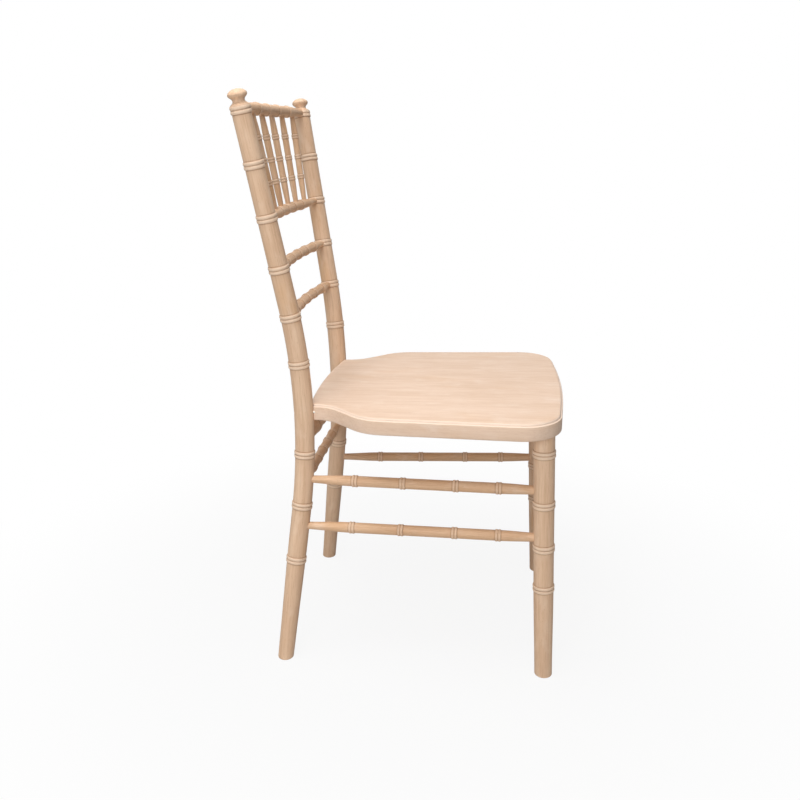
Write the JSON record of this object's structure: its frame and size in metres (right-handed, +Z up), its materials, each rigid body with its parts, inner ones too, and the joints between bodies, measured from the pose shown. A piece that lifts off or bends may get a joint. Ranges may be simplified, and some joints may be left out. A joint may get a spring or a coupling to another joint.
{
  "type": "chiavari chair",
  "caption": "All-wood side chair with ringed turned posts, bowed back rails, spindles, ringed rungs and a shaped board seat.",
  "frame": {"origin": "on the floor, in the middle of the whole chair's box", "axes": "+Z up, the chair faces -Y, +X is the sitter's left"},
  "size_m": [0.4322, 0.4912, 0.9057],
  "materials": {
    "post_wood": "pale limewashed beech, matt clear coat",
    "rung_wood": "pale limewashed beech, matt clear coat",
    "seat_wood": "pale limewashed beech board, matt clear coat",
    "screw_steel": "zinc plated countersunk screw"
  },
  "bodies": {
    "root": {"back_rail_lower": "rung_wood", "back_rail_upper": "rung_wood", "front_leg_left": "post_wood", "front_leg_right": "post_wood", "front_stretcher_lower": "rung_wood", "front_stretcher_upper": "rung_wood", "rear_post_left": "post_wood", "rear_post_right": "post_wood", "rear_seat_rail": "rung_wood", "rear_stretcher": "rung_wood", "seat_panel": "seat_wood", "seat_screws": "screw_steel", "side_stretcher_lower_left": "rung_wood", "side_stretcher_lower_right": "rung_wood", "side_stretcher_upper_left": "rung_wood", "side_stretcher_upper_right": "rung_wood", "spindle_1": "rung_wood", "spindle_2": "rung_wood", "spindle_3": "rung_wood", "spindle_4": "rung_wood", "spindle_5": "rung_wood", "spindle_rail": "rung_wood", "top_rail": "rung_wood"}
  },
  "joints": []
}
